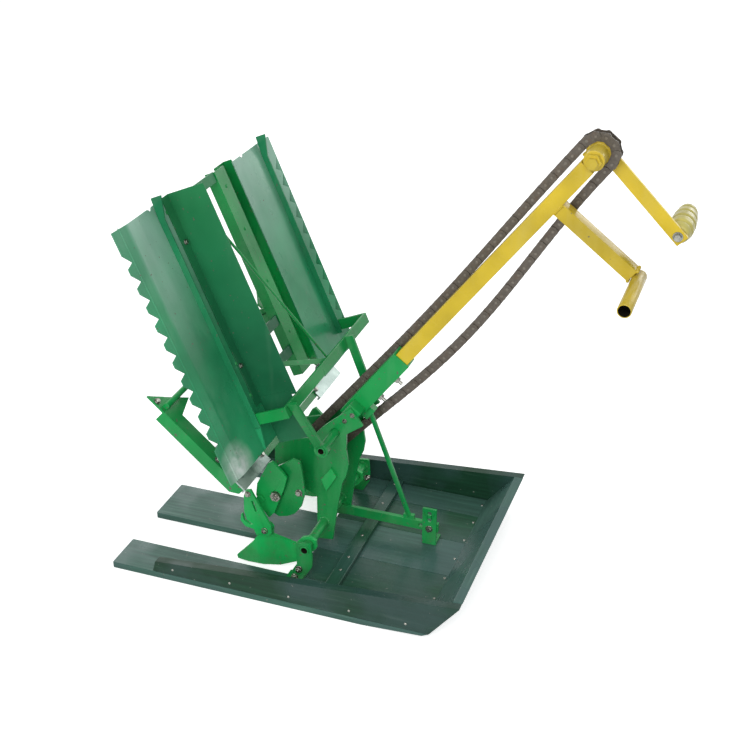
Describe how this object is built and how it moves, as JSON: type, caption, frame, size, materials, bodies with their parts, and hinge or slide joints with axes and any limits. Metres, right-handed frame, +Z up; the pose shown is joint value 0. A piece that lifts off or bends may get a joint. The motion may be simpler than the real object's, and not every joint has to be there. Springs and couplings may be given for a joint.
{
  "type": "rice transplanter",
  "caption": "Hand-cranked rice transplanter: wooden sled, steel frame, tilted sliding seedling trays, hooked planting links on rockers, and a chain-driven crank on a sloping handle beam.",
  "frame": {"origin": "on the sled's underside, on the middle plane, under the middle tail plank", "axes": "+X is the way it is pulled, toward the handle; +Y to the crank's side; +Z up"},
  "size_m": [0.9067, 0.528, 0.8151],
  "materials": {
    "green_paint": "gloss enamel",
    "sled_wood": "painted boards",
    "yellow_paint": "gloss enamel",
    "grip_plastic": "glossy",
    "chain_steel": "oiled dark steel",
    "zinc_steel": "zinc plated"
  },
  "bodies": {
    "frame": {"beam_socket": "green_paint", "bearing_tube": "yellow_paint", "brace_rod": "zinc_steel", "chain": "chain_steel", "cross_tube": "green_paint", "depth_bar": "green_paint", "drive_cases": "green_paint", "foot_brackets": "green_paint", "front_bracket": "green_paint", "gate_bar": "green_paint", "gates": "green_paint", "handle_arm": "yellow_paint", "handle_beam": "yellow_paint", "handle_tube": "yellow_paint", "post_lug": "green_paint", "post_plates": "green_paint", "post_saddle": "green_paint", "rails": "green_paint", "rear_rod": "green_paint", "sled_batten": "sled_wood", "sled_floor_far": "sled_wood", "sled_floor_near": "sled_wood", "sled_front_board": "sled_wood", "sled_side_far": "sled_wood", "sled_side_near": "sled_wood", "sled_tail_far": "sled_wood", "sled_tail_middle": "sled_wood", "sled_tail_near": "sled_wood"},
    "crank": {"crank_shaft": "zinc_steel", "upper_sprocket": "yellow_paint", "crank_arm": "yellow_paint", "crank_grip": "grip_plastic"},
    "drive": {"drive_shaft": "zinc_steel", "lower_sprocket": "chain_steel", "crank_plates": "green_paint"},
    "carriage": {"carriage_arms": "green_paint", "carriage_hangers": "green_paint", "carriage_straps": "green_paint", "divider_far": "green_paint", "divider_near": "green_paint", "feed_wire": "green_paint", "guide_tube": "green_paint", "tray_far": "green_paint", "tray_near": "green_paint", "tray_ribs": "green_paint", "u_bar": "green_paint"},
    "rocker": {"rocker_near": "green_paint", "rocker_far": "green_paint"},
    "planter": {"planter_near": "green_paint", "planter_far": "green_paint"}
  },
  "joints": [
    {"name": "crank_spin", "type": "hinge", "parent": "frame", "child": "crank", "pos_m": [0.443, 0, 0.783], "axis": [0, 1, 0], "continuous": true},
    {"name": "drive_spin", "type": "hinge", "parent": "frame", "child": "drive", "pos_m": [-0.048, 0, 0.143], "axis": [0, 1, 0], "continuous": true},
    {"name": "carriage_slide", "type": "slide", "parent": "frame", "child": "carriage", "axis": [0, 1, 0], "range_m": [-0.045, 0.045]},
    {"name": "rocker_swing", "type": "hinge", "parent": "frame", "child": "rocker", "pos_m": [0.019, 0, 0.068], "axis": [0, 1, 0], "range_deg": [-15, 32]},
    {"name": "planter_swing", "type": "hinge", "parent": "rocker", "child": "planter", "pos_m": [-0.06, 0, 0.084], "axis": [0, 1, 0], "range_deg": [-20, 20]}
  ],
  "couplings": [
    {"joint": "drive_spin", "follows": "crank_spin", "ratio": 1}
  ]
}
